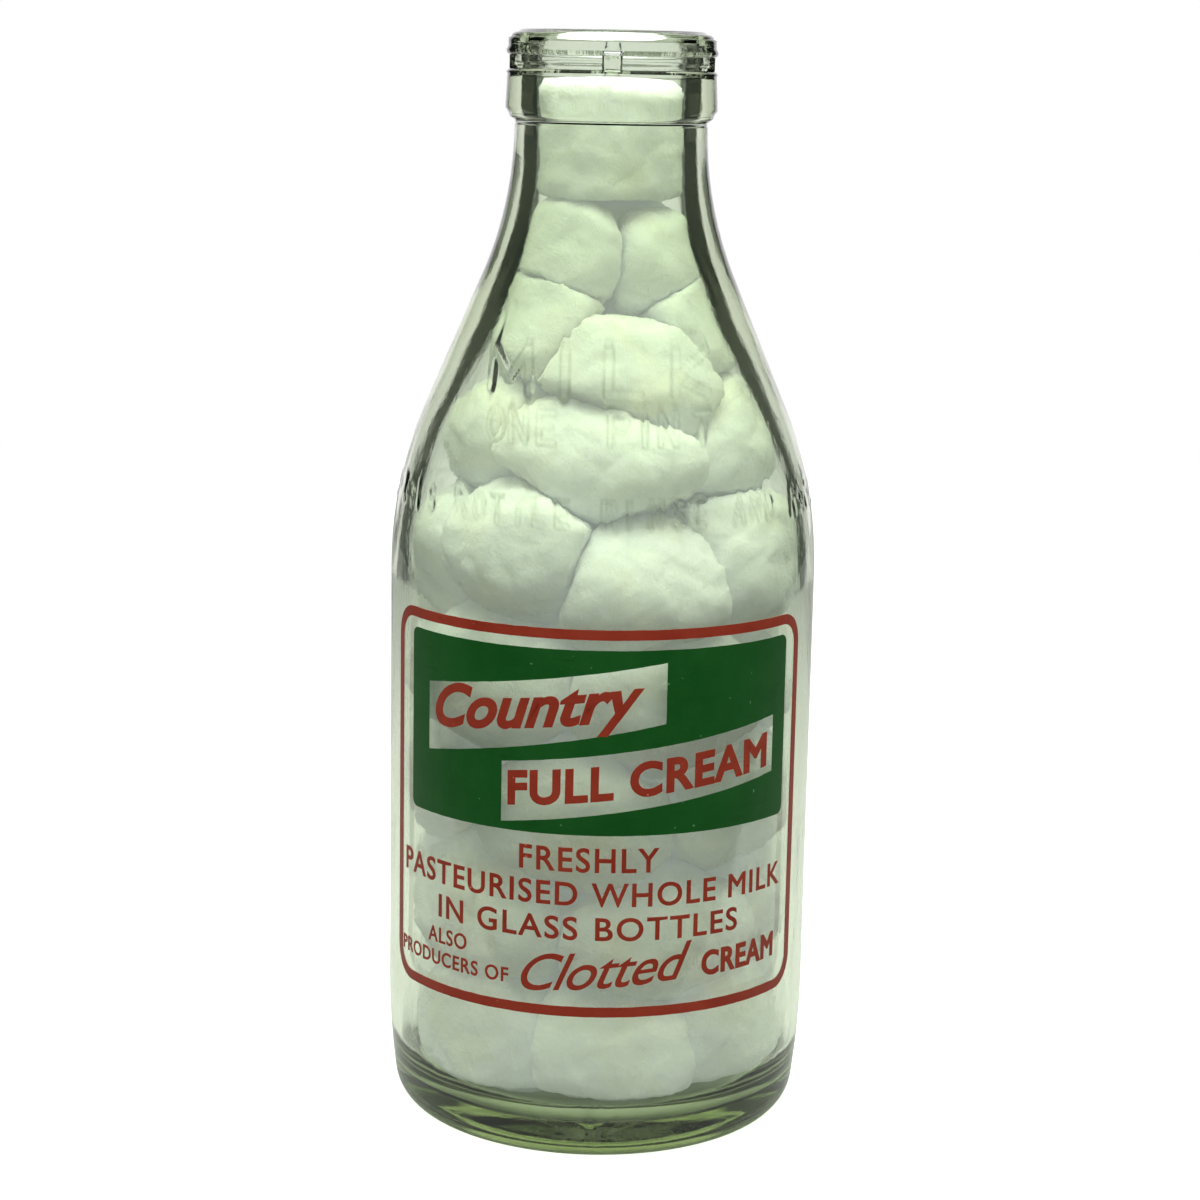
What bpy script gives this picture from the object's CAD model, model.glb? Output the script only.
"""Looks of a one-pint milk bottle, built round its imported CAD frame.

The CAD gives the place and size of the glass, of two enamel coats and of the wool that fills
the bottle. This script gives them their shapes and finishes. Sizes in the classes are in
millimetres, as the glassmaker's drawing has them, and meshes are in metres. +Z is up and the
label faces -Y. An azimuth is an angle from the front (-Y) towards +X.
"""

import logging
import math
from dataclasses import dataclass, field

import bmesh
import bpy
import numpy as np
from mathutils import Matrix, Vector, noise

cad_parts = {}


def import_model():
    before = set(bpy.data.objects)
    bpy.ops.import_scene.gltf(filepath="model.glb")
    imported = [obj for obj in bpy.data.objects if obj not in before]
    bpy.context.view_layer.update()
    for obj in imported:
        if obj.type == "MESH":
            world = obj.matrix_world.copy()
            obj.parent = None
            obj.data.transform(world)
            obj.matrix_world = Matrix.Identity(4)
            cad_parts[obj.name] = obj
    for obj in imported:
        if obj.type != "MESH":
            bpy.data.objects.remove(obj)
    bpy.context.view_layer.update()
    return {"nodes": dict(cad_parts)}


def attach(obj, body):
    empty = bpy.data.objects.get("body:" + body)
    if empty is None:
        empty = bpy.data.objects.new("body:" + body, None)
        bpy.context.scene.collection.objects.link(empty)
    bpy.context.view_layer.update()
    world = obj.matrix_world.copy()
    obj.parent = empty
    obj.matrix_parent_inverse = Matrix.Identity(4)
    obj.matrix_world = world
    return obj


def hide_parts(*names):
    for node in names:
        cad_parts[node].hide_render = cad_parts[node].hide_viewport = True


Material = bpy.types.Material
Mesh = bpy.types.Mesh
Object = bpy.types.Object
Socket = bpy.types.NodeSocket

MM = 0.001
LOG = logging.getLogger("milk_bottle")
TYPE_SIZE = 10.0
TYPE_CAPITAL = 7.0


# materials


class NodeTree:
    """Short names for building a tree of shader nodes."""

    def __init__(self, tree: bpy.types.NodeTree) -> None:
        """Empty the tree and hold it."""
        self.tree = tree
        self.tree.nodes.clear()

    def add(self, kind: str, **values: object) -> bpy.types.Node:
        """Add a node.

        Args:
            kind: the node's type without its ShaderNode prefix.
            values: sockets by name with underscores for spaces, or the node's own settings.

        Returns:
            The new node.
        """
        node = self.tree.nodes.new(f"ShaderNode{kind}")
        for name, value in values.items():
            if hasattr(node, name):
                setattr(node, name, value)
            else:
                self.feed(node.inputs[name.replace("_", " ")], value)
        return node

    def feed(self, socket: Socket, value: object) -> None:
        """Link an output to a socket, or set the socket's value; a tuple of three is a colour."""
        if isinstance(value, Socket):
            self.tree.links.new(value, socket)
        elif isinstance(value, tuple) and socket.type == "RGBA":
            socket.default_value = (*value[:3], 1.0)
        else:
            socket.default_value = value

    def maths(self, operation: str, *values: object) -> Socket:
        """One sum on one or two values."""
        node = self.add("Math", operation=operation)
        for socket, value in zip(node.inputs, values, strict=False):
            self.feed(socket, value)
        return node.outputs[0]

    def noise(self, vector: Socket, scale: float, detail: float, rough: float = 0.5) -> Socket:
        """Noise as a value from 0 to 1.

        Args:
            vector: where it is read.
            scale: how many lumps there are to a metre.
            detail: how many finer layers lie on them.
            rough: how strong each finer layer is.

        Returns:
            The output with the value.
        """
        node = self.add("TexNoise", Vector=vector, Scale=scale, Detail=detail, Roughness=rough)
        return node.outputs["Fac"]

    def ramp(self, factor: Socket, stops: list) -> Socket:
        """Colour ramp with stops as (position, colour)."""
        node = self.add("ValToRGB", Fac=factor)
        elements = node.color_ramp.elements
        for element, (position, colour) in zip(elements, stops, strict=True):
            element.position = position
            element.color = (*colour, 1.0)
        return node.outputs["Color"]

    def mask(
        self, factor: Socket, low: float, high: float, most: float = 1.0, least: float = 0.0
    ) -> Socket:
        """Grey that goes from least to most while the factor goes from low to high."""
        return self.ramp(factor, [(low, (least,) * 3), (high, (most,) * 3)])

    def mix(self, factor: object, first: object, second: object) -> Socket:
        """Mix two colours."""
        node = self.add("Mix", data_type="RGBA")
        for place, value in ((0, factor), (6, first), (7, second)):
            self.feed(node.inputs[place], value)
        return node.outputs[2]

    def mix_shaders(self, factor: object, first: bpy.types.Node, second: bpy.types.Node) -> Socket:
        """Mix two surfaces."""
        node = self.add("MixShader", Fac=factor)
        self.feed(node.inputs[1], first.outputs[0])
        self.feed(node.inputs[2], second.outputs[0])
        return node.outputs[0]

    def bump(
        self, height: Socket, strength: float, distance: float, under: Socket | None = None
    ) -> Socket:
        """Bump from a height.

        Args:
            height: the value that raises the surface.
            strength: how much of the bump shows.
            distance: how far a value of 1 raises the surface, in metres.
            under: another bump that this one lies on, if any.

        Returns:
            The output with the bumped normal.
        """
        node = self.add("Bump", Height=height, Strength=strength, Distance=distance)
        if under is not None:
            self.feed(node.inputs["Normal"], under)
        return node.outputs["Normal"]


class Shader(NodeTree):
    """A node material."""

    def __init__(self, name: str) -> None:
        """Start an empty node material of that name."""
        self.material = bpy.data.materials.new(name)
        self.material.use_nodes = True
        super().__init__(self.material.node_tree)
        self.output = self.add("OutputMaterial")

    def place(self) -> Socket:
        """Object coordinates."""
        return self.add("TexCoord").outputs["Object"]

    def stretched(self, scale: tuple) -> Socket:
        """Object coordinates, scaled by axis."""
        return self.add("Mapping", Vector=self.place(), Scale=scale).outputs["Vector"]

    def finish(self, surface: Socket) -> Material:
        """Join the surface to the output and return the material."""
        self.feed(self.output.inputs["Surface"], surface)
        return self.material


@dataclass(frozen=True)
class GlassFinish:
    """Clear bottle glass, a little olive where it is thick."""

    ior: float = 1.5
    roughness: float = 0.012
    tint: tuple = (0.94, 0.97, 0.94)
    grime_tint: tuple = (0.40, 0.45, 0.37)
    depth_colour: tuple = (0.50, 0.61, 0.22)
    depth_density: float = 40.0
    clear_tint: tuple = (0.93, 0.97, 0.90)

    def material(self) -> Material:
        """Glass that bends what is seen through it, and lets lamp light reach the filling."""
        shader = Shader("bottle_glass")
        place = shader.place()
        ripple = shader.noise(shader.stretched((1.0, 1.0, 0.35)), 260.0, 3.0)
        orange_peel = shader.bump(ripple, 0.06, 0.0006)
        scuffs = shader.noise(place, 1400.0, 2.0, 0.7)
        normal = shader.bump(scuffs, 0.03, 0.0002, orange_peel)
        grime = shader.add("Attribute", attribute_name="grime").outputs["Fac"]
        patchy = shader.mask(shader.noise(place, 180.0, 2.0), 0.3, 0.7, least=0.25)
        stained = shader.mix(shader.maths("MULTIPLY", grime, patchy), self.tint, self.grime_tint)
        glass = shader.add(
            "BsdfPrincipled",
            Base_Color=stained,
            Roughness=self.roughness,
            IOR=self.ior,
            Transmission_Weight=1.0,
            Normal=normal,
        )
        path = shader.add("LightPath").outputs
        lamp_ray = shader.maths("MAXIMUM", path["Is Shadow Ray"], path["Is Diffuse Ray"])
        clear = shader.add("BsdfTransparent", Color=self.clear_tint)
        depth = shader.add("VolumeAbsorption", Color=self.depth_colour, Density=self.depth_density)
        shader.feed(shader.output.inputs["Volume"], depth.outputs[0])
        return shader.finish(shader.mix_shaders(lamp_ray, glass, clear))


@dataclass(frozen=True)
class EnamelFinish:
    """Fired enamel printed through a screen: dull gloss, pinholes and thin spots."""

    name: str
    colour: tuple
    thin_colour: tuple
    roughness: float = 0.4
    shine: float = 0.14
    streak_shade: float = 0.72

    def material(self) -> Material:
        """Enamel with a mottled coat, brush streaks and small flecks."""
        shader = Shader(self.name)
        place = shader.place()
        cloudy = shader.noise(place, 120.0, 4.0, 0.6)
        streaks = shader.noise(shader.stretched((0.3, 0.3, 2.5)), 420.0, 3.0)
        mottled = shader.mix(shader.mask(cloudy, 0.35, 0.75), self.colour, self.thin_colour)
        darker = tuple(part * self.streak_shade for part in self.colour)
        streaked = shader.mix(shader.mask(streaks, 0.62, 0.74, 0.55), mottled, darker)
        fleck = shader.mask(shader.noise(place, 900.0, 1.0), 0.765, 0.80)
        paler = tuple(min(1.0, part * 1.5 + 0.10) for part in self.thin_colour)
        flecked = shader.mix(fleck, streaked, paler)
        grain = shader.noise(place, 1800.0, 2.0)
        enamel = shader.add(
            "BsdfPrincipled",
            Base_Color=flecked,
            Roughness=self.roughness,
            Specular_IOR_Level=self.shine,
            Normal=shader.bump(grain, 0.25, 0.0002),
        )
        return shader.finish(enamel.outputs[0])


@dataclass(frozen=True)
class WoolFinish:
    """Cotton wool: matt, soft at its edges, with fine fibres and a cream tint in patches."""

    white: tuple = (0.90, 0.925, 0.935)
    cream: tuple = (0.91, 0.88, 0.77)
    crease: tuple = (0.87, 0.88, 0.84)
    glow: float = 0.9
    glow_depth: float = 0.008
    lift: float = 0.085
    lift_colour: tuple = (0.93, 1.0, 0.93)
    sheen: float = 0.7
    fibre_bend: float = 0.012

    def material(self) -> Material:
        """Wool that reads the piece's hollow attribute for its creases."""
        shader = Shader("white_wool")
        place = shader.place()
        hollow = shader.add("Attribute", attribute_name="hollow").outputs["Fac"]
        patches = shader.noise(place, 70.0, 2.0)
        warm = shader.mix(shader.mask(patches, 0.50, 0.70, 0.7), self.white, self.cream)
        creased = shader.mix(shader.mask(hollow, 0.35, 1.0, 0.8), warm, self.crease)
        tufts = shader.noise(place, 330.0, 4.0, 0.6)
        warp = shader.add("TexNoise", Vector=place, Scale=90.0, Detail=2.0).outputs["Color"]
        bent = shader.add("VectorMath", operation="MULTIPLY_ADD")
        for socket, value in zip(bent.inputs, (warp, (self.fibre_bend,) * 3, place), strict=False):
            shader.feed(socket, value)
        slant = shader.add("Mapping", Vector=bent.outputs[0], Rotation=(0.5, 0.3, 0.4))
        slant.inputs["Scale"].default_value = (4.0, 0.5, 1.2)
        fibres = shader.noise(slant.outputs["Vector"], 700.0, 3.0, 0.65)
        snow = shader.noise(place, 950.0, 2.0, 0.6)
        normal = shader.bump(tufts, 0.6, 0.0014, shader.bump(snow, 0.35, 0.0005))
        normal = shader.bump(fibres, 0.5, 0.0008, normal)
        wool = shader.add(
            "BsdfPrincipled",
            Base_Color=creased,
            Roughness=1.0,
            Specular_IOR_Level=0.0,
            Subsurface_Weight=self.glow,
            Subsurface_Radius=(1.0, 1.0, 0.9),
            Subsurface_Scale=self.glow_depth,
            Sheen_Weight=self.sheen,
            Sheen_Roughness=0.45,
            Emission_Color=self.lift_colour,
            Emission_Strength=self.lift,
            Normal=normal,
        )
        return shader.finish(wool.outputs[0])


# outlines


def arc(centre: tuple, radius: float, start: float, end: float, steps: int) -> list:
    """Points along an arc, without its first.

    Args:
        centre: its centre as (radius, height).
        radius: its radius.
        start: its first angle in degrees, from outwards towards up.
        end: its last angle.
        steps: how many points.

    Returns:
        The points as (radius, height).
    """
    turns = [math.radians(start + (end - start) * step / steps) for step in range(1, steps + 1)]
    across, up = centre
    return [(across + radius * math.cos(turn), up + radius * math.sin(turn)) for turn in turns]


def eased(share: np.ndarray) -> np.ndarray:
    """A share from 0 to 1, eased at both ends."""
    return share * share * (3 - 2 * share)


def straight(start: tuple, end: tuple, spacing: float) -> list:
    """Points along a line, without its first, no further apart than spacing."""
    length = math.dist(start, end)
    steps = max(1, math.ceil(length / spacing))
    (left, low), (right, high) = start, end
    return [
        (left + (right - left) * step / steps, low + (high - low) * step / steps)
        for step in range(1, steps + 1)
    ]


def rounded(corners: list, spacing: float) -> list:
    """Points along a line with rounded corners.

    Args:
        corners: (radius, height, rounding) of each corner; the first and last aren't rounded.
        spacing: the longest step between points.

    Returns:
        The points as (radius, height), without the first corner.
    """
    points, last = [], Vector(corners[0][:2])
    for before, here, after in zip(corners, corners[1:], corners[2:], strict=False):
        corner = Vector(here[:2])
        back = (Vector(before[:2]) - corner).normalized()
        ahead = (Vector(after[:2]) - corner).normalized()
        half = back.angle(ahead) / 2
        reach = here[2] / math.tan(half)
        enter, leave = corner + back * reach, corner + ahead * reach
        if (enter - last).length > 1e-6:
            points += straight(tuple(last), tuple(enter), spacing)
        middle = corner + (back + ahead).normalized() * (here[2] / math.sin(half))
        steps = max(3, round((math.pi - 2 * half) * here[2] / 0.3))
        for step in range(1, steps + 1):
            points.append(tuple(middle + (enter - middle).slerp(leave - middle, step / steps)))
        last = leave
    points += straight(tuple(last), tuple(corners[-1][:2]), spacing)
    return points


@dataclass
class Shoulder:
    """Arc, cone and arc from a vertical wall up to a narrower one.

    Attributes:
        low: where it starts, as (radius, height).
        high: where it ends.
        bend: how much steeper the cone is than a straight line between them.
        neck_share: the neck arc's share of both radii.
    """

    low: tuple
    high: tuple
    bend: float
    neck_share: float = 0.47

    def points(self, spacing: float) -> list:
        """Points from low to high, without the first."""
        inward, rise = self.low[0] - self.high[0], self.high[1] - self.low[1]
        angle = (1 + self.bend) * math.atan(inward / rise)
        both = (rise * math.sin(angle) - inward * math.cos(angle)) / (1 - math.cos(angle))
        neck_arc, body_arc = self.neck_share * both, (1 - self.neck_share) * both
        turn = math.degrees(angle)
        body_steps = math.ceil(body_arc * angle / spacing)
        body = arc((self.low[0] - body_arc, self.low[1]), body_arc, 0, turn, body_steps)
        neck_steps = math.ceil(neck_arc * angle / spacing)
        neck = arc((self.high[0] + neck_arc, self.high[1]), neck_arc, 180 + turn, 180, neck_steps)
        inset, drop = neck_arc * (1 - math.cos(angle)), neck_arc * math.sin(angle)
        first = (self.high[0] + inset, self.high[1] - drop)
        return body + straight(body[-1], first, spacing) + neck


# moulded lettering

BOWL = [(0, 0), (0, 1), (0.55, 1), (0.76, 0.76), (0.55, 0.5), (0, 0.5)]
RING = [
    (0.5 + 0.42 * math.cos(part * math.pi / 6), 0.5 + 0.5 * math.sin(part * math.pi / 6))
    for part in range(13)
]
LETTERS = {
    "A": [[(0, 0), (0.42, 1), (0.84, 0)], [(0.16, 0.36), (0.68, 0.36)]],
    "B": [
        [(0, 0), (0, 1), (0.55, 1), (0.72, 0.78), (0.55, 0.54), (0, 0.54)],
        [(0.5, 0.54), (0.8, 0.28), (0.6, 0), (0, 0)],
    ],
    "D": [[(0, 0), (0, 1), (0.45, 1), (0.8, 0.72), (0.8, 0.28), (0.45, 0), (0, 0)]],
    "E": [[(0.7, 0), (0, 0), (0, 1), (0.7, 1)], [(0, 0.52), (0.58, 0.52)]],
    "H": [[(0, 0), (0, 1)], [(0.75, 0), (0.75, 1)], [(0, 0.52), (0.75, 0.52)]],
    "I": [[(0.1, 0), (0.1, 1)]],
    "K": [[(0, 0), (0, 1)], [(0.75, 1), (0, 0.42), (0.8, 0)]],
    "L": [[(0, 1), (0, 0), (0.65, 0)]],
    "M": [[(0, 0), (0.05, 1), (0.5, 0.3), (0.95, 1), (1, 0)]],
    "N": [[(0, 0), (0, 1), (0.75, 0), (0.75, 1)]],
    "O": [RING],
    "P": [BOWL],
    "R": [BOWL, [(0.4, 0.5), (0.78, 0)]],
    "S": [
        [(0.72, 0.86), (0.4, 1), (0.06, 0.8), (0.2, 0.56)]
        + [(0.6, 0.44), (0.74, 0.2), (0.4, 0), (0.02, 0.14)]
    ],
    "T": [[(0, 1), (0.8, 1)], [(0.4, 1), (0.4, 0)]],
    "U": [[(0, 1), (0, 0.25), (0.38, 0), (0.76, 0.25), (0.76, 1)]],
    "2": [[(0.05, 0.78), (0.35, 1), (0.7, 0.78), (0.05, 0), (0.75, 0)]],
}


@dataclass
class MouldedWord:
    """Raised lettering on the outside of the glass.

    Attributes:
        text: the letters.
        starts: where each letter starts, along the wall from the front, in mm.
        foot: height of the letters' feet above the ground.
        width: width of a letter.
        height: height of a letter, measured upright.
        stroke: width of a stroke.
        rise: how far it stands out.
        overhang: how far a stroke's foot goes past its width.
        side: how wide a stroke's sloping side is.
    """

    text: str
    starts: list
    foot: float
    width: float
    height: float
    stroke: float
    rise: float
    overhang: float = 0.18
    side: float = 0.42

    def raise_points(self, along: np.ndarray, level: np.ndarray) -> tuple:
        """Raise the points of the wall that lie under a letter.

        Args:
            along: each point's distance from the front, round the wall.
            level: each point's height.

        Returns:
            How far out each point goes, and how near it is to a stroke's side, from 0 to 1.
        """
        out, side_mark = np.zeros_like(along), np.zeros_like(along)
        for letter, start in zip(self.text, self.starts, strict=True):
            near = (along > start - 2) & (along < start + self.width + 2)
            near &= (level > self.foot - 1.5) & (level < self.foot + self.height + 1.5)
            if letter == " " or not near.any():
                continue
            place = np.stack([along[near], level[near]], axis=1)
            nearest = np.full(len(place), 1e9)
            for line in LETTERS[letter]:
                joints = np.array(line) * (self.width, self.height) + (start, self.foot)
                for first, second in zip(joints, joints[1:], strict=False):
                    run = second - first
                    share = np.clip((place - first) @ run / max(run @ run, 1e-9), 0, 1)
                    gap = np.linalg.norm(place - first - share[:, None] * run, axis=1)
                    nearest = np.minimum(nearest, gap)
            edge = np.clip((self.stroke + self.overhang - nearest) / self.side, 0, 1)
            out[near] = np.maximum(out[near], self.rise * eased(edge))
            mark = np.clip(1 - np.abs(nearest - self.stroke) / self.side, 0, 1)
            side_mark[near] = np.maximum(side_mark[near], mark)
        return out, side_mark


# mesh helpers


def put(name: str, data: bpy.types.ID) -> Object:
    """Put a new object with that data in the scene."""
    thing = bpy.data.objects.new(name, data)
    bpy.context.scene.collection.objects.link(thing)
    return thing


def new_piece(name: str, mesh: Mesh, material: Material) -> Object:
    """Put a mesh in the scene as a smooth object with one material."""
    piece = put(name, mesh)
    mesh.materials.clear()
    mesh.materials.append(material)
    mesh.shade_smooth()
    return piece


def mesh_from(body: bmesh.types.BMesh, name: str) -> Mesh:
    """A new mesh of that name from a bmesh, which is freed."""
    mesh = bpy.data.meshes.new(name)
    body.to_mesh(mesh)
    body.free()
    return mesh


def mark_points(mesh: Mesh, name: str, values: np.ndarray) -> None:
    """Give each vertex a value, under a name that a material reads."""
    marks = mesh.attributes.new(name, "FLOAT", "POINT")
    marks.data.foreach_set("value", values.astype(np.float32))


def read_points(mesh: Mesh, kind: str = "co") -> np.ndarray:
    """The mesh's vertices, or their normals, as rows of x, y and z."""
    rows = np.empty(len(mesh.vertices) * 3)
    mesh.vertices.foreach_get(kind, rows)
    return rows.reshape(-1, 3)


def write_points(mesh: Mesh, points: np.ndarray) -> None:
    """Move the mesh's vertices."""
    mesh.vertices.foreach_set("co", points.ravel())
    mesh.update()


def finished_mesh(piece: Object) -> Mesh:
    """The piece's mesh with its modifiers applied."""
    bpy.context.view_layer.update()
    graph = bpy.context.evaluated_depsgraph_get()
    return bpy.data.meshes.new_from_object(piece.evaluated_get(graph))


# the glass


@dataclass
class GlassBottle:
    """The bottle: one closed wall of glass, with moulded lettering and a ribbed mouth."""

    body_radius: float = 40.0
    height: float = 204.0
    neck_radius: float = 17.8
    bore_radius: float = 13.75
    wall: float = 2.7
    base: float = 6.5
    push_up: float = 2.0
    shoulder_height: float = 104.8
    inner_shoulder_drop: float = 2.8
    bore_length: float = 24.0
    bend: float = 0.53
    inner_bend: float = 0.62
    inner_heel: float = 9.0
    heel_radius: float = 6.8
    heel_taper: float = 7.5
    heel_taper_height: float = 26.0
    ring_width: float = 3.0
    base_hollow: float = 1.6
    bead_radius: float = 19.1
    bead_low: float = 199.7
    groove_radius: float = 18.1
    groove_low: float = 196.7
    band_low: float = 187.3
    band_top_radius: float = 19.2
    band_bottom_radius: float = 19.7
    lip_rounding: float = 1.5
    rib_width: float = 3.2
    rib_side: float = 0.7
    rib_setback: float = 0.25
    neck_straight: float = 0.4
    ring_word_radius: float = 38.35
    heel_ring_centre: tuple = (-0.45, 10.45)
    heel_ring_radius: float = 1.95
    heel_ring_rise: float = 0.22
    inner_wave: float = 0.25
    inner_ripple: float = 0.05
    outer_wave: float = 0.05
    flow_line: float = 0.03
    front_turn: float = 65.0
    front_segments: int = 96
    back_segments: int = 132
    letter_step: float = 0.5
    plain_step: float = 3.0
    wall_step: float = 4.0
    words: list = field(default_factory=list)

    def lettering(self) -> list:
        """The moulded words: on the shoulder, round its foot, and a numeral on the heel."""
        ring = "RINSE AND RETURN THIS BOTTLE " * 2
        half = math.pi * self.ring_word_radius
        pitch = 2 * half / len(ring)
        ring_starts = [pitch * place - half for place in range(len(ring))]
        pint_starts = [-22.6, -17.4, -11.9, -7, 0.9, 6.6, 9.9, 16.6]
        return [
            MouldedWord("MILK", [-22.4, -8.2, 0.4, 12.6], 140.9, 8.4, 7.2, 0.85, 0.36),
            MouldedWord("ONE PINT", pint_starts, 132.4, 3.9, 5.2, 0.5, 0.22),
            MouldedWord(ring, ring_starts, 118.4, 2.7, 4.5, 0.36, 0.15),
            MouldedWord("2", [-1.0], 9.4, 1.4, 2.1, 0.3, 0.25),
        ]

    def outside(self) -> list:
        """Points of the outer line, from the axis under the base to the lip's inner edge."""
        lean = math.radians(self.heel_taper)
        heel_top = self.heel_radius * (1 - math.sin(lean))
        taper_arc = (self.heel_taper_height - heel_top) / math.sin(lean)
        heel_out = self.body_radius - taper_arc * (1 - math.cos(lean))
        ring_out = heel_out - self.heel_radius * math.cos(lean)
        ring_in = ring_out - self.ring_width
        dome = (ring_in**2 + self.base_hollow**2) / (2 * self.base_hollow)
        edge = math.degrees(math.asin(ring_in / dome))
        line = [(0.0, self.base_hollow)]
        line += arc((0, self.base_hollow - dome), dome, 90, 90 - edge, 9)
        line += straight(line[-1], (ring_out, 0), 1.5)
        line += arc((ring_out, self.heel_radius), self.heel_radius, -90, -self.heel_taper, 16)
        taper_centre = (self.body_radius - taper_arc, self.heel_taper_height)
        line += arc(taper_centre, taper_arc, -self.heel_taper, 0, 24)
        line += straight(line[-1], (self.body_radius, self.shoulder_height), self.wall_step)
        neck_top = self.band_low - self.neck_straight
        shoulder = Shoulder(line[-1], (self.neck_radius, neck_top), self.bend)
        line += self.evened(shoulder.points(0.1))
        line += rounded(
            [
                (self.neck_radius, neck_top, 0),
                (self.neck_radius, self.band_low, 0.35),
                (self.band_bottom_radius, self.band_low, 1.7),
                (self.band_top_radius, self.groove_low, 0.7),
                (self.groove_radius, self.groove_low, 0.45),
                (self.groove_radius, self.bead_low, 0.45),
                (self.bead_radius, self.bead_low, 0.6),
                (self.bead_radius, self.height, self.lip_rounding),
                (self.bore_radius, self.height, self.lip_rounding),
                (self.bore_radius, self.height - self.bore_length, 0),
            ],
            0.9,
        )
        return line

    def evened(self, fine: list) -> list:
        """Thin out a fine line: small steps where letters stand, long ones elsewhere."""
        kept = [fine[0]]
        lettered = [(word.foot - 1.0, word.foot + word.height + 1.0) for word in self.words]
        for point in fine[1:-1]:
            fine_here = any(low <= point[1] <= high for low, high in lettered)
            step = self.letter_step if fine_here else self.plain_step
            if math.dist(point, kept[-1]) >= step:
                kept.append(point)
        return kept + [fine[-1]]

    def inside(self) -> list:
        """Points of the cavity's line, from the foot of the bore to the middle of the floor."""
        wall = self.body_radius - self.wall
        shoulder = (wall, self.shoulder_height - self.inner_shoulder_drop)
        bore_foot = (self.bore_radius, self.height - self.bore_length)
        rise = Shoulder(shoulder, bore_foot, self.inner_bend).points(2.2)
        line = rise[-2::-1] + [shoulder]
        edge, heel_top = wall - self.inner_heel, self.base + self.inner_heel
        line += straight(shoulder, (wall, heel_top), self.wall_step)
        line += arc((edge, heel_top), self.inner_heel, 0, -90, 14)
        dome = (edge**2 + self.push_up**2) / (2 * self.push_up)
        turn = math.degrees(math.asin(edge / dome))
        line += arc((0, self.base + self.push_up - dome), dome, 90 - turn, 90, 10)
        return line

    def turn(self, body: bmesh.types.BMesh, line: list, angle: float, steps: int) -> list:
        """Turn a line about the axis and return the line it ends on."""
        swept = bmesh.ops.spin(
            body, geom=line, axis=(0, 0, 1), cent=(0, 0, 0), angle=angle, steps=steps, use_merge=False
        )
        return swept["geom_last"]

    def spun(self) -> Mesh:
        """The line turned once about the axis, as a closed mesh with finer steps in front."""
        body = bmesh.new()
        line = self.outside() + self.inside()
        rows = [body.verts.new((0, -radius * MM, height * MM)) for radius, height in line]
        edges = [body.edges.new(pair) for pair in zip(rows, rows[1:], strict=False)]
        front = math.radians(self.front_turn)
        self.turn(body, rows + edges, -front, self.front_segments)
        side = self.turn(body, rows + edges, front, self.front_segments)
        self.turn(body, side, 2 * (math.pi - front), self.back_segments)
        bmesh.ops.remove_doubles(body, verts=body.verts, dist=1e-6)
        bmesh.ops.recalc_face_normals(body, faces=body.faces)
        return mesh_from(body, "glass_bottle_wall")

    def shape(self, mesh: Mesh) -> None:
        """Raise the letters and ribs, and give both walls the waves of blown glass."""
        points = read_points(mesh) / MM
        radius = np.hypot(points[:, 0], points[:, 1])
        azimuth = np.arctan2(points[:, 0], -points[:, 1])
        level = points[:, 2]
        outer = self.is_outer(radius, level)
        along = azimuth * radius
        out = np.zeros(len(points))
        grime = np.zeros(len(points))
        for word in self.words:
            rise, side_mark = word.raise_points(along, level)
            out += np.where(outer, rise, 0)
            grime = np.maximum(grime, np.where(outer, side_mark, 0))
        mark_points(mesh, "grime", grime)
        out += np.where(outer, self.heel_ring(along, level), 0)
        quarter = (azimuth + math.pi / 4) % (math.pi / 2) - math.pi / 4
        across = np.abs(quarter * self.groove_radius)
        bridge = np.clip((self.rib_width / 2 + self.rib_side / 2 - across) / self.rib_side, 0, 1)
        in_groove = outer & (level > self.groove_low - 0.5) & (level < self.bead_low + 0.5)
        missing = np.maximum(0, self.bead_radius - self.rib_setback - radius)
        out += np.where(in_groove, missing, 0) * eased(bridge)
        out += self.waves(points, radius, outer)
        safe = np.maximum(radius, 1e-6)
        points[:, 0] += points[:, 0] / safe * out
        points[:, 1] += points[:, 1] / safe * out
        write_points(mesh, points * MM)

    def is_outer(self, radius: np.ndarray, level: np.ndarray) -> np.ndarray:
        """Which points lie on the outer wall, above the standing ring."""
        inner = np.interp(level, *self.inner_wall())
        return (radius > inner + 0.6) & (level > 1.0)

    def inner_wall(self) -> tuple:
        """Heights, from low to high, and the cavity's radius at each."""
        line = [(self.bore_radius, self.height)] + self.inside()
        line = [point for point in line if point[1] >= self.base + 0.2][::-1]
        heights = np.array([point[1] for point in line])
        order = np.argsort(heights, kind="stable")
        return heights[order], np.array([point[0] for point in line])[order]

    def heel_ring(self, along: np.ndarray, level: np.ndarray) -> np.ndarray:
        """The small ring round the heel's numeral."""
        across, up = self.heel_ring_centre
        gap = np.abs(np.hypot(along - across, level - up) - self.heel_ring_radius)
        return self.heel_ring_rise * eased(np.clip((0.42 - gap) / 0.34, 0, 1))

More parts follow.
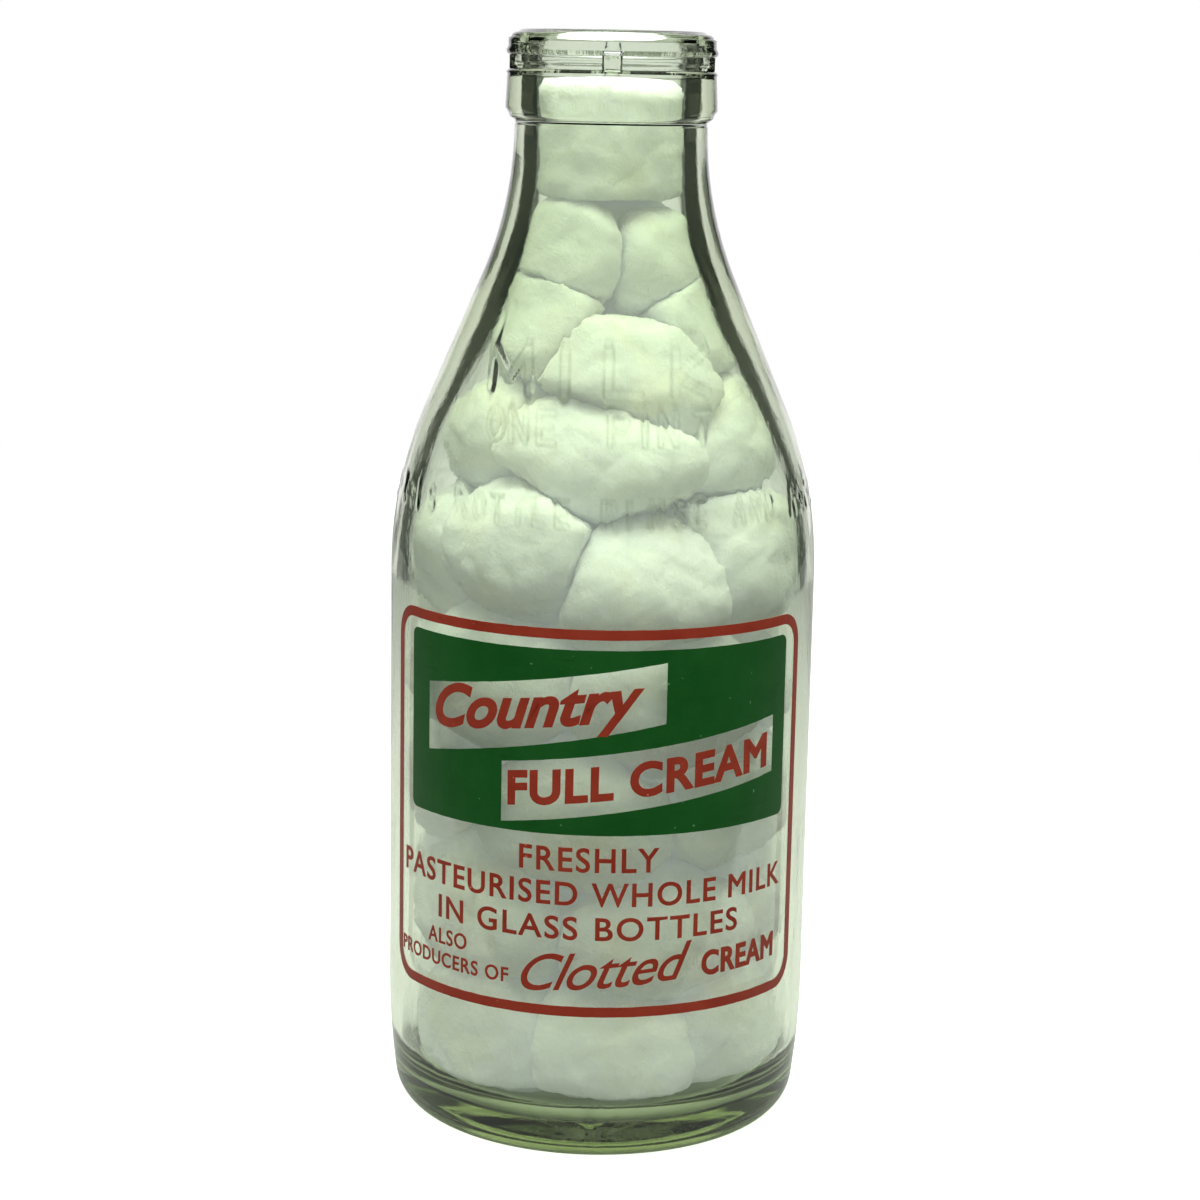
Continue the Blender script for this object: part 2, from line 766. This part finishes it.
    def waves(self, points: np.ndarray, radius: np.ndarray, outer: np.ndarray) -> np.ndarray:
        """Slow waves: slight outside, stronger inside, and flow lines round the mouth.

        Args:
            points: the points of both walls, in mm.
            radius: each point's distance from the axis.
            outer: which points lie on the outer wall.

        Returns:
            How far each point moves out from the axis.
        """
        out = np.zeros(len(points))
        for index, (x, y, level) in enumerate(points):
            if radius[index] < 3:
                continue
            if not outer[index]:
                if 8.5 < level < 198 and radius[index] < self.body_radius - 1.2:
                    here = Vector((x * 0.045, y * 0.045, level * 0.03))
                    out[index] = self.inner_wave * noise.noise(here)
                    out[index] += self.inner_ripple * noise.noise(here * 3.7)
                continue
            here = Vector((x * 0.06, y * 0.06, level * 0.05 + 7))
            out[index] = min(0.0, self.outer_wave * noise.noise(here) - self.outer_wave / 2)
            if level > self.groove_low:
                flow = Vector((-y / radius[index] * 0.8, x / radius[index] * 0.8, level * 1.9))
                out[index] += min(0.0, self.flow_line * noise.noise(flow) - self.flow_line / 2)
        return out

    def build(self, finish: GlassFinish) -> Object:
        """Make the glass and put it in place of its CAD node."""
        self.words = self.lettering()
        mesh = self.spun()
        self.shape(mesh)
        piece = new_piece("bottle_glass_wall", mesh, finish.material())
        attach(piece, "bottle")
        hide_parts("glass_bottle")
        LOG.info("glass: %d faces", len(mesh.polygons))
        return piece


# the label


@dataclass
class LabelLine:
    """One line of the label's lettering, in mm along and up the glass.

    Attributes:
        name: the piece's name after its enamel prefix.
        text: the words.
        left: where the line starts, from the front.
        right: where it ends.
        foot: height of its first letter's foot.
        cap_height: height of its capitals.
        rise: how much higher it ends than it starts.
        shear: how far its letters slant.
        weight: how far its strokes are thickened on each side.
        spacing: how far apart its letters are, as a share of the usual.
    """

    name: str
    text: str
    left: float
    right: float
    foot: float
    cap_height: float
    rise: float = 0.0
    shear: float = 0.0
    weight: float = 0.0
    spacing: float = 1.0


LABEL_LINES = [
    LabelLine("word_country", "Country", -33.2, 7.4, 79.9, 7.6, 4.9, 0.3, 0.36),
    LabelLine("word_full_cream", "FULL CREAM", -16.4, 34.2, 67.9, 5.9, 5.3, 0.0, 0.33, 1.08),
    LabelLine("word_freshly", "FRESHLY", -14.2, 11.1, 56.3, 4.4, -0.1, 0.0, 0.10, 1.12),
    LabelLine(
        "line_whole_milk", "PASTEURISED WHOLE MILK", -43.6, 39.8, 50.3, 4.3, -0.7, 0.0, 0.10, 1.12
    ),
    LabelLine("line_glass", "IN GLASS BOTTLES", -32.2, 27.8, 43.8, 4.2, -0.4, 0.0, 0.10, 1.14),
    LabelLine("word_also", "ALSO", -35.2, -25.2, 38.6, 2.9, 0.2, 0.0, 0.06, 1.1),
    LabelLine("line_producers", "PRODUCERS OF", -44.8, -16.2, 34.4, 2.7, 0.0, 0.0, 0.06, 1.1),
    LabelLine("word_clotted", "Clotted", -13.6, 17.9, 33.4, 6.9, 2.6, 0.42, 0.06, 0.95),
    LabelLine("word_cream", "CREAM", 20.3, 38.3, 35.8, 4.4, 0.3, 0.0, 0.22, 1.08),
]


@dataclass
class EnamelLabel:
    """Two fired coats on the front of the cylinder: red line and lettering, green panel."""

    glass_radius: float = 40.0
    clear: float = 0.02
    thickness: float = 0.085
    step: float = 1.0
    wobble: float = 0.045
    bluntness: float = 0.62
    border: tuple = (-47.2, 45.1, 29.1, 100.4)
    border_band: float = 1.85
    border_corner: float = 6.0
    panel: tuple = (-41.0, 40.0, 63.0, 96.7)
    panel_corner: float = 1.5
    upper_flag: tuple = ((-35.5, 74.8), (12.0, 83.3), (12.0, 94.4), (-35.5, 87.5))
    lower_flag: tuple = ((-18.0, 64.4), (36.3, 71.7), (36.3, 82.3), (-18.0, 75.5))

    def rounded_box(self, box: tuple, corner: float) -> list:
        """Outline of a box (left, right, low, high) with rounded corners."""
        left, right, low, high = box
        near, far, foot, top = left + corner, right - corner, low + corner, high - corner
        outline = []
        corners = ((far, top), (near, top), (near, foot), (far, foot))
        for turn, centre in zip((0, 90, 180, 270), corners, strict=True):
            outline += arc(centre, corner, turn - 90, turn, 1)
            outline += arc(centre, corner, turn, turn + 90, 8)
        return outline

    def flat_coat(self, outlines: list) -> Mesh:
        """Flat filled shape; inner outlines are holes."""
        curve = bpy.data.curves.new("coat_outline", "CURVE")
        curve.dimensions = "2D"
        curve.fill_mode = "BOTH"
        for outline in outlines:
            spline = curve.splines.new("POLY")
            spline.points.add(len(outline) - 1)
            for point, (along, level) in zip(spline.points, outline, strict=True):
                point.co = (along, level, 0, 1)
            spline.use_cyclic_u = True
        return self.curve_mesh(curve)

    def curve_mesh(self, curve: bpy.types.Curve) -> Mesh:
        """A curve or text as a mesh, with the curve removed."""
        holder = put("coat_holder", curve)
        mesh = finished_mesh(holder)
        bpy.data.objects.remove(holder)
        bpy.data.curves.remove(curve)
        return mesh

    def flat_line(self, line: LabelLine) -> Mesh:
        """One line of lettering, laid flat where it goes on the label."""
        text = bpy.data.curves.new(line.name, "FONT")
        text.body = line.text
        text.size = TYPE_SIZE
        text.shear = line.shear
        text.space_character = line.spacing
        text.resolution_u = 6
        mesh = self.curve_mesh(text)
        points = read_points(mesh)
        first, last = points[:, 0].min(), points[:, 0].max()
        share = (points[:, 0] - first) / (last - first)
        points[:, 0] = line.left + share * (line.right - line.left)
        points[:, 1] = line.foot + points[:, 1] * line.cap_height / TYPE_CAPITAL + line.rise * share
        write_points(mesh, points)
        return mesh

    def embolden(self, coat: bmesh.types.BMesh, weight: float) -> None:
        """Push the flat coat's outline out by a weight, with blunt corners."""
        moves = {}
        for vert in coat.verts:
            ways = []
            for edge in vert.link_edges:
                if len(edge.link_faces) != 1:
                    continue
                run = (edge.verts[1].co - edge.verts[0].co).normalized()
                across = Vector((run.y, -run.x, 0))
                centre = edge.link_faces[0].calc_center_median()
                ways.append(across if (edge.verts[0].co - centre).dot(across) > 0 else -across)
            total = sum(ways, Vector((0, 0, 0)))
            if total.length > 1e-6:
                half = max(self.bluntness, total.length / len(ways))
                moves[vert] = total.normalized() * weight / half
        for vert, move in moves.items():
            vert.co += move

    def wrap(self, mesh: Mesh, weight: float) -> None:
        """Turn a flat coat into a thin shell round the glass.

        Args:
            mesh: the flat coat, in mm along and up the glass.
            weight: how far its outline is pushed out.
        """
        coat = bmesh.new()
        coat.from_mesh(mesh)
        bmesh.ops.remove_doubles(coat, verts=coat.verts, dist=1e-4)
        if weight:
            self.embolden(coat, weight)
        top = bmesh.ops.extrude_face_region(coat, geom=coat.faces[:], use_keep_orig=True)["geom"]
        lifted = [item for item in top if isinstance(item, bmesh.types.BMVert)]
        bmesh.ops.translate(coat, verts=lifted, vec=(0, 0, self.thickness))
        low = min(vert.co.x for vert in coat.verts)
        high = max(vert.co.x for vert in coat.verts)
        for cut in np.arange(low + self.step / 2, high, self.step):
            whole = coat.verts[:] + coat.edges[:] + coat.faces[:]
            bmesh.ops.bisect_plane(
                coat, geom=whole, plane_co=(cut, 0, 0), plane_no=(1, 0, 0), dist=1e-5
            )
        bmesh.ops.triangulate(coat, faces=[face for face in coat.faces if len(face.verts) > 4])
        bmesh.ops.recalc_face_normals(coat, faces=coat.faces)
        radius = self.glass_radius + self.clear
        for vert in coat.verts:
            flat = Vector((vert.co.x, vert.co.y, 0))
            shift = noise.noise_vector(flat * 0.55) + noise.noise_vector(flat * 2.1) * 0.6
            along, level = flat.x + shift.x * self.wobble, flat.y + shift.y * self.wobble
            turn, out = along / self.glass_radius, radius + vert.co.z
            vert.co = (out * math.sin(turn) * MM, -out * math.cos(turn) * MM, level * MM)
        coat.to_mesh(mesh)
        coat.free()

    def fasten(
        self, name: str, mesh: Mesh, material: Material, weight: float = 0.0
    ) -> Object:
        """Wrap a flat coat round the glass and make it ride with the bottle.

        Args:
            name: the piece's name.
            mesh: the flat coat.
            material: its enamel.
            weight: how far its outline is pushed out.

        Returns:
            The piece.
        """
        self.wrap(mesh, weight)
        piece = new_piece(name, mesh, material)
        mesh.shade_flat()
        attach(piece, "bottle")
        return piece

    def build(self, red: EnamelFinish, green: EnamelFinish) -> None:
        """Make both coats and every line of lettering."""
        red_material, green_material = red.material(), green.material()
        left, right, low, high = self.border
        band = self.border_band
        inner = (left + band, right - band, low + band, high - band)
        ring = [self.rounded_box(self.border, self.border_corner)]
        ring.append(self.rounded_box(inner, self.border_corner - band))
        border = self.fasten("enamel_red_border", self.flat_coat(ring), red_material)
        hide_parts("enamel_border_red")
        edge = self.rounded_box(self.panel, self.panel_corner)
        coat = self.flat_coat([edge, self.upper_flag, self.lower_flag])
        panel = self.fasten("enamel_green_panel", coat, green_material)
        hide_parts("enamel_panel_green")
        for line in LABEL_LINES:
            flat = self.flat_line(line)
            name = f"enamel_{line.name}"
            piece = self.fasten(name, flat, red_material, line.weight)
            LOG.info("%s: %d faces", piece.name, len(piece.data.polygons))


# the wool


@dataclass
class WoolFilling:
    """Balls of cotton wool, each shaped from its CAD solid.

    Attributes:
        coarse: voxel size of the first remesh.
        puff: how far a ball swells.
        lump: how uneven the swelling is.
        crown_depth: height of the wad's rounded top.
        crown_drop: how far the top's edge is let down.
        press: how far a pressed side may pass its flat.
        flat_area: the least area of a flat, in square mm.
    """

    bottle: GlassBottle
    coarse: float = 1.4
    first_smoothing: int = 12
    last_smoothing: int = 6
    puff: float = 2.2
    lump: float = 2.4
    tuft: float = 0.55
    fibre: float = 0.26
    crease_depth: float = 0.35
    crown_depth: float = 9.0
    crown_drop: float = 2.4
    press: float = 0.11
    flat_area: float = 10.0
    glass_gap: float = 0.2
    dome_radius: float = 28.0

    def softened(self, mesh: Mesh, remesh: bool) -> Mesh:
        """The mesh smoothed: remeshed before it, or divided once after it."""
        holder = put("wool_holder", mesh)
        if remesh:
            voxels = holder.modifiers.new("remesh", "REMESH")
            voxels.mode = "VOXEL"
            voxels.voxel_size = self.coarse * MM
        soften = holder.modifiers.new("soften", "SMOOTH")
        soften.iterations = self.first_smoothing if remesh else self.last_smoothing
        soften.factor = 0.5
        if not remesh:
            divide = holder.modifiers.new("divide", "SUBSURF")
            divide.levels = divide.render_levels = 1
        soft = finished_mesh(holder)
        bpy.data.objects.remove(holder)
        bpy.data.meshes.remove(mesh)
        return soft

    def solid_copy(self, node: Object) -> Mesh:
        """A merged copy of a CAD solid."""
        ball = bmesh.new()
        ball.from_mesh(node.data)
        bmesh.ops.remove_doubles(ball, verts=ball.verts, dist=1e-6)
        return mesh_from(ball, f"{node.name}_soft")

    def flats(self, node: Object) -> list:
        """The flats of a CAD solid, as (normal, distance from the origin), in mm."""
        areas = {}
        for face in node.data.polygons:
            level = face.normal.dot(node.data.vertices[face.vertices[0]].co) / MM
            key = (*(round(part, 2) for part in face.normal), round(level, 1))
            area, _, _ = areas.get(key, (0.0, None, 0.0))
            areas[key] = (area + face.area / MM**2, np.array(face.normal), level)
        return [(normal, level) for area, normal, level in areas.values() if area > self.flat_area]

    def plump(self, mesh: Mesh, flats: list, seed: int) -> None:
        """Puff the ball unevenly and press it flat against its neighbours."""
        points = read_points(mesh) / MM
        shift = Vector((seed * 17.3, seed * 5.1, seed * 9.7))
        out = np.array([noise.noise((Vector(point) + shift) * 0.075) for point in points])
        points += read_points(mesh, "normal") * (self.puff + self.lump * out)[:, None]
        self.press_flat(points, flats)
        self.keep_inside(points)
        write_points(mesh, points * MM)

    def ruffle(self, mesh: Mesh, seed: int) -> None:
        """Give the ball tufts, fibres and creases, and mark its hollows."""
        points = read_points(mesh) / MM
        shift = Vector((seed * 3.3, seed * 15.1, seed * 7.7))
        out = np.empty(len(points))
        hollow = np.empty(len(points))
        for index, point in enumerate(points):
            here = Vector(point) + shift
            tuft = noise.noise(here * 0.26)
            fibre = noise.noise(Vector((here.x * 1.1, here.y * 1.1, here.z * 0.5)))
            crease = max(0.0, 1 - 8 * abs(noise.noise(here * 0.13)))
            out[index] = self.tuft * tuft + self.fibre * fibre - self.crease_depth * crease
            hollow[index] = min(1.0, max(0.0, 0.45 * crease - 0.9 * tuft))
        points += read_points(mesh, "normal") * out[:, None]
        self.keep_inside(points)
        write_points(mesh, points * MM)
        mark_points(mesh, "hollow", hollow)

    def crown(self, mesh: Mesh) -> None:
        """Round the top of the neck wad down towards the glass."""
        points = read_points(mesh)
        top = points[:, 2].max()
        depth = self.crown_depth * MM
        share = np.clip((points[:, 2] - top + depth) / depth, 0, 1)
        spread = np.hypot(points[:, 0], points[:, 1]) / (self.bottle.bore_radius * MM)
        lopsided = 1 + 0.3 * np.sign(points[:, 0]) * spread
        points[:, 2] -= self.crown_drop * MM * share * spread**2 * lopsided
        write_points(mesh, points)

    def press_flat(self, points: np.ndarray, flats: list) -> None:
        """Bring back what stands out past the flats of the ball's solid."""
        for normal, level in flats:
            beyond = points @ normal - level - self.press
            points -= np.outer(np.maximum(beyond, 0), normal)

    def keep_inside(self, points: np.ndarray) -> None:
        """Hold the points inside the cavity and above its floor."""
        heights, radii = self.bottle.inner_wall()
        room = np.interp(points[:, 2], heights, radii) - self.glass_gap
        radius = np.hypot(points[:, 0], points[:, 1])
        pull = np.minimum(1, room / np.maximum(radius, 1e-6))
        points[:, 0] *= pull
        points[:, 1] *= pull
        dome = self.bottle.push_up * (1 - (radius / self.dome_radius) ** 2).clip(0)
        floor = self.bottle.base + dome + self.glass_gap
        points[:, 2] = np.maximum(points[:, 2], floor)

    def build(self, finish: WoolFinish, nodes: dict) -> None:
        """Make every ball and the neck wad in place of their CAD nodes."""
        material = finish.material()
        names = sorted(name for name in nodes if name.startswith("wool_ball_"))
        for seed, name in enumerate(names + ["neck_wad"]):
            mesh = self.softened(self.solid_copy(nodes[name]), remesh=True)
            self.plump(mesh, self.flats(nodes[name]), seed)
            mesh = self.softened(mesh, remesh=False)
            self.ruffle(mesh, seed)
            if name == "neck_wad":
                self.crown(mesh)
            piece = new_piece(f"soft_{name}", mesh, material)
            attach(piece, "wad" if name == "neck_wad" else "bottle")
            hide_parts(name)
        LOG.info("wool: %d pieces", len(names) + 1)


# the studio


@dataclass
class Studio:
    """Pale floor, soft lamps, and a surround that is white behind and grey at the sides."""

    floor_radius: float = 0.55
    floor_front: float = -0.11
    floor_glow: float = 0.66
    floor_grey: tuple = (0.62, 0.65, 0.58)
    floor_bounce: tuple = (0.26, 0.27, 0.27)
    white_half_angle: float = 28.0
    dark: tuple = (0.035, 0.042, 0.035)
    zenith: tuple = (0.6, 0.6, 0.6)
    ambient: tuple = (0.42, 0.425, 0.43)
    white: tuple = (1.0, 1.0, 1.0)
    white_above: float = 38.0
    blur: float = 0.015
    blur_above: float = 6.0
    lens: float = 81.8
    distance: float = 0.5088
    camera_height: float = 0.1966
    pitch: float = 10.96
    roll: float = 1.08
    turn: float = 0.046

    def floor(self) -> None:
        """A pale round floor, most of it behind the bottle."""
        disc = bmesh.new()
        bmesh.ops.create_circle(disc, cap_ends=True, segments=128, radius=self.floor_radius)
        middle = (0, self.floor_front + self.floor_radius, 0)
        bmesh.ops.translate(disc, verts=disc.verts, vec=middle)
        mesh = mesh_from(disc, "studio_floor")
        shader = Shader("floor_paper")
        grain = shader.noise(shader.place(), 300.0, 3.0)
        tone = shader.mix(grain, (0.93, 0.935, 0.93), (0.95, 0.95, 0.95))
        pale = shader.add(
            "BsdfPrincipled",
            Base_Color=tone,
            Roughness=0.9,
            Specular_IOR_Level=0.1,
            Emission_Color=self.white,
            Emission_Strength=self.floor_glow,
        )
        path = shader.add("LightPath")
        bounce = shader.mix(path.outputs["Is Diffuse Ray"], self.floor_grey, self.floor_bounce)
        grey = shader.add("BsdfDiffuse", Color=bounce)
        paper = shader.mix_shaders(path.outputs["Is Camera Ray"], grey, pale)
        new_piece("studio_floor", mesh, shader.finish(paper))

    def surround(self) -> None:
        """White to the camera; to the glass, white behind each side and grey between."""
        world = bpy.data.worlds.new("studio_surround")
        bpy.context.scene.world = world
        world.use_nodes = True
        tree = NodeTree(world.node_tree)
        place = tree.add("TexCoord").outputs["Generated"]
        apart = tree.add("SeparateXYZ", Vector=place).outputs
        turn = tree.maths("ABSOLUTE", tree.maths("ARCTAN2", apart["X"], apart["Y"]))
        edge = self.white_half_angle / 180
        stops = [(edge - self.blur, self.white), (edge + self.blur, self.dark)]
        sides = tree.ramp(tree.maths("DIVIDE", turn, math.pi), stops)
        low = math.sin(math.radians(self.white_above - self.blur_above))
        high = math.sin(math.radians(self.white_above + self.blur_above))
        above = tree.add("MapRange", Value=apart["Z"], From_Min=low, From_Max=high).outputs[0]
        dome = tree.mix(above, sides, self.zenith)
        path = tree.add("LightPath").outputs
        soft = tree.mix(path["Is Diffuse Ray"], dome, self.ambient)
        seen = tree.mix(path["Is Camera Ray"], soft, self.white)
        back = tree.add("Background", Color=seen)
        tree.feed(tree.add("OutputWorld").inputs["Surface"], back.outputs[0])

    def lamp(self, name: str, at: tuple, aim: tuple, size: tuple, power: float) -> None:
        """A soft rectangular lamp that is seen only by what it lights.

        Args:
            name: its name.
            at: its place, in metres.
            aim: the point it faces.
            size: its width and depth.
            power: its power, in watts.
        """
        data = bpy.data.lights.new(name, "AREA")
        data.shape = "RECTANGLE"
        data.size, data.size_y = size
        data.energy = power
        lamp = put(name, data)
        lamp.visible_camera = lamp.visible_glossy = lamp.visible_transmission = False
        lamp.location = at
        lamp.rotation_euler = (Vector(aim) - Vector(at)).to_track_quat("-Z", "Y").to_euler()

    def camera(self) -> None:
        """A camera a little above the bottle's middle, level with its mouth."""
        data = bpy.data.cameras.new("studio_camera")
        data.lens = self.lens
        data.sensor_width = 36.0
        data.clip_start, data.clip_end = 0.01, 20.0
        camera = put("studio_camera", data)
        aim = Matrix.Rotation(math.radians(self.turn), 4, "Z")
        aim @= Matrix.Rotation(math.radians(90 - self.pitch), 4, "X")
        aim @= Matrix.Rotation(math.radians(self.roll), 4, "Z")
        camera.matrix_world = Matrix.Translation((0, -self.distance, self.camera_height)) @ aim
        bpy.context.scene.camera = camera

    def build(self) -> None:
        """Put up the floor, the surround, the lamps and the camera."""
        self.camera()
        self.floor()
        self.surround()
        self.lamp("overhead", (0.0, -0.07, 0.56), (0, 0, 0.10), (0.45, 0.45), 4.6)
        bpy.context.scene.view_settings.view_transform = "Standard"


def main() -> None:
    """Build the bottle, its label, its filling and the studio."""
    logging.basicConfig(level=logging.INFO, format="%(name)s: %(message)s")
    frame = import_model()
    Studio().build()
    bottle = GlassBottle()
    bottle.build(GlassFinish())
    red = EnamelFinish("fired_red_enamel", (0.29, 0.030, 0.013), (0.36, 0.050, 0.022))
    green = EnamelFinish("fired_green_enamel", (0.006, 0.085, 0.010), (0.012, 0.105, 0.016))
    EnamelLabel().build(red, green)
    WoolFilling(bottle).build(WoolFinish(), frame["nodes"])
    bpy.context.view_layer.update()


if __name__ == "__main__":
    main()
